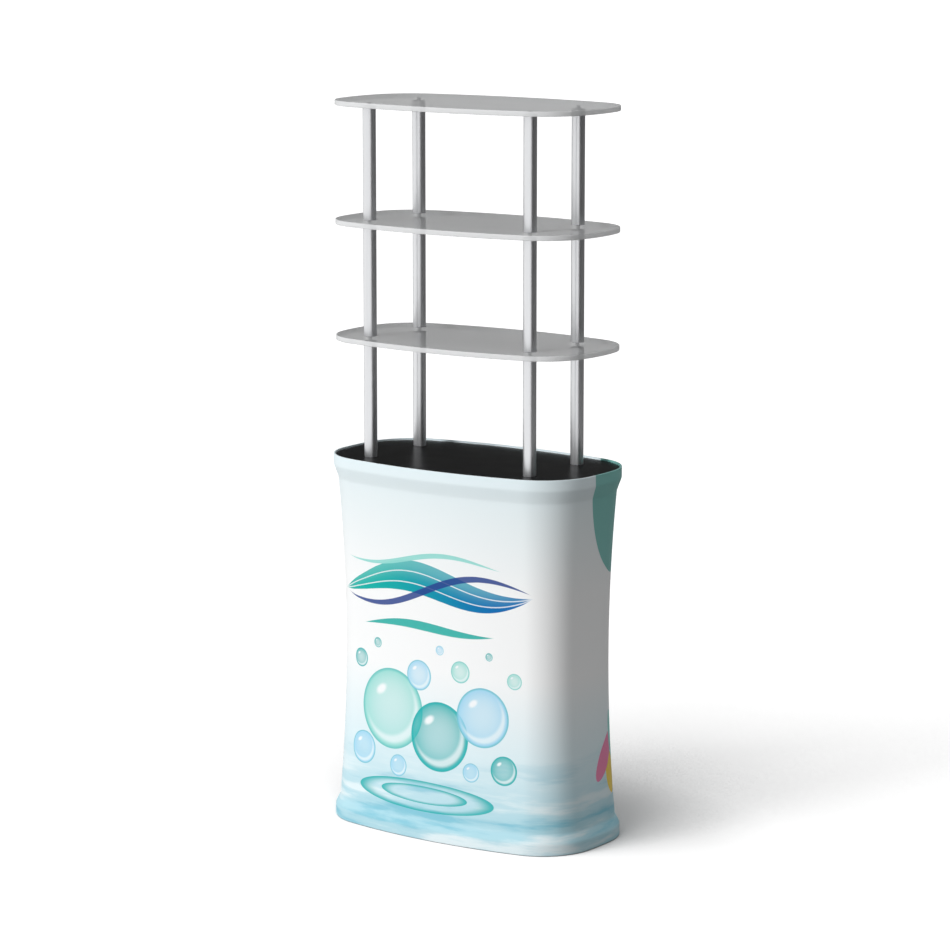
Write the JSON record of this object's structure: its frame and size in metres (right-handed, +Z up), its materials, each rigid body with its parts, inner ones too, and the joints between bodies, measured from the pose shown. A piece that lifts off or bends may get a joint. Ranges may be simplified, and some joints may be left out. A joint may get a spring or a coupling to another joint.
{
  "type": "display stand",
  "caption": "Oval counter with a waisted printed fabric sleeve and black top, carrying frosted shelves on brushed metal posts.",
  "frame": {"origin": "centre of the oval footprint on the floor", "axes": "+X along the width, to the right seen from the front; the front faces -Y; +Z up"},
  "size_m": [0.828, 0.4638, 2],
  "materials": {
    "printed_fabric": "matt printed stretch knit",
    "grip_strip": "matt",
    "ring_metal": "mill finish",
    "black_panel": "satin black laminate",
    "floor_board": "bare fibreboard",
    "post_metal": "brushed lengthways",
    "upright_metal": "mill finish",
    "plug_metal": "turned",
    "fastener_steel": "zinc plated",
    "frosted_acrylic": "frosted, polished edges",
    "foot_rubber": "matt"
  },
  "bodies": {
    "root": {"base_feet": "foot_rubber", "base_panel": "floor_board", "bottom_ring": "ring_metal", "bottom_ring_screws": "fastener_steel", "fabric_sleeve": "printed_fabric", "hem_grip_strip": "grip_strip", "lower_post_back_left": "post_metal", "lower_post_back_right": "post_metal", "lower_post_front_left": "post_metal", "lower_post_front_right": "post_metal", "lower_post_plugs": "plug_metal", "lower_shelf": "frosted_acrylic", "lower_shelf_studs": "fastener_steel", "middle_post_back_left": "post_metal", "middle_post_back_right": "post_metal", "middle_post_front_left": "post_metal", "middle_post_front_right": "post_metal", "middle_post_plugs": "plug_metal", "middle_shelf": "frosted_acrylic", "middle_shelf_studs": "fastener_steel", "panel_studs": "fastener_steel", "top_panel": "black_panel", "top_ring": "ring_metal", "top_ring_screws": "fastener_steel", "top_shelf": "frosted_acrylic", "top_shelf_studs": "fastener_steel", "upper_post_back_left": "post_metal", "upper_post_back_right": "post_metal", "upper_post_front_left": "post_metal", "upper_post_front_right": "post_metal", "upper_post_plugs": "plug_metal", "upright_back_left": "upright_metal", "upright_back_right": "upright_metal", "upright_bolts": "fastener_steel", "upright_front_left": "upright_metal", "upright_front_right": "upright_metal", "upright_plugs": "plug_metal"}
  },
  "joints": []
}
